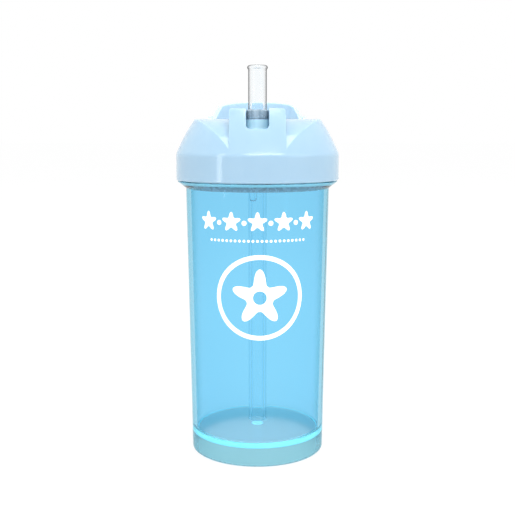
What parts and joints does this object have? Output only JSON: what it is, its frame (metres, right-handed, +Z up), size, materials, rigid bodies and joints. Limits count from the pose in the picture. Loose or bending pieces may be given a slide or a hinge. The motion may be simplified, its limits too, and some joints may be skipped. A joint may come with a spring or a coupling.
{
  "type": "sippy cup",
  "caption": "Clear tinted straw cup with a screw lid, a flip-over cover and a soft straw that folds forward into a slot in the lid.",
  "frame": {"origin": "centre of the foot ring, on the surface the cup stands on", "axes": "+Z up along the bottle's axis, -Y the front, where the straw folds to, +X to the right seen from the front"},
  "size_m": [0.08, 0.0876, 0.1913],
  "materials": {
    "clear_plastic": "clear tinted, glossy",
    "lid_plastic": "opaque, soft gloss",
    "cover_plastic": "opaque, soft gloss",
    "plug_plastic": "opaque, soft gloss",
    "seal_silicone": "translucent grey-blue silicone",
    "clear_silicone": "translucent silicone, soft sheen"
  },
  "bodies": {
    "bottle": {"bottle": "clear_plastic"},
    "seal": {"lid_seal": "seal_silicone"},
    "lid": {"screw_lid": "lid_plastic", "inner_plug": "plug_plastic", "vent_valve": "clear_silicone", "straw_collar": "clear_silicone", "straw_tube": "clear_silicone"},
    "cover": {"flip_cover": "cover_plastic"},
    "spout": {"straw_spout": "clear_silicone"}
  },
  "joints": [
    {"name": "lid_lift", "type": "slide", "parent": "bottle", "child": "seal", "axis": [0, 0, 1], "range_m": [0, 0.006]},
    {"name": "lid_twist", "type": "hinge", "parent": "seal", "child": "lid", "pos_m": [0, 0, 0.14], "axis": [0, 0, 1], "range_deg": [0, 360]},
    {"name": "cover_flip", "type": "hinge", "parent": "lid", "child": "cover", "pos_m": [0, 0.006, 0.163], "axis": [1, 0, 0], "range_deg": [0, 165.4]},
    {"name": "straw_fold", "type": "hinge", "parent": "lid", "child": "spout", "pos_m": [0, 0, 0.165], "axis": [1, 0, 0], "range_deg": [0, 88]}
  ],
  "couplings": [
    {"joint": "lid_lift", "follows": "lid_twist", "m_per_rad": 0.00095493},
    {"joint": "straw_fold", "follows": "cover_flip", "ratio": 0.532}
  ]
}
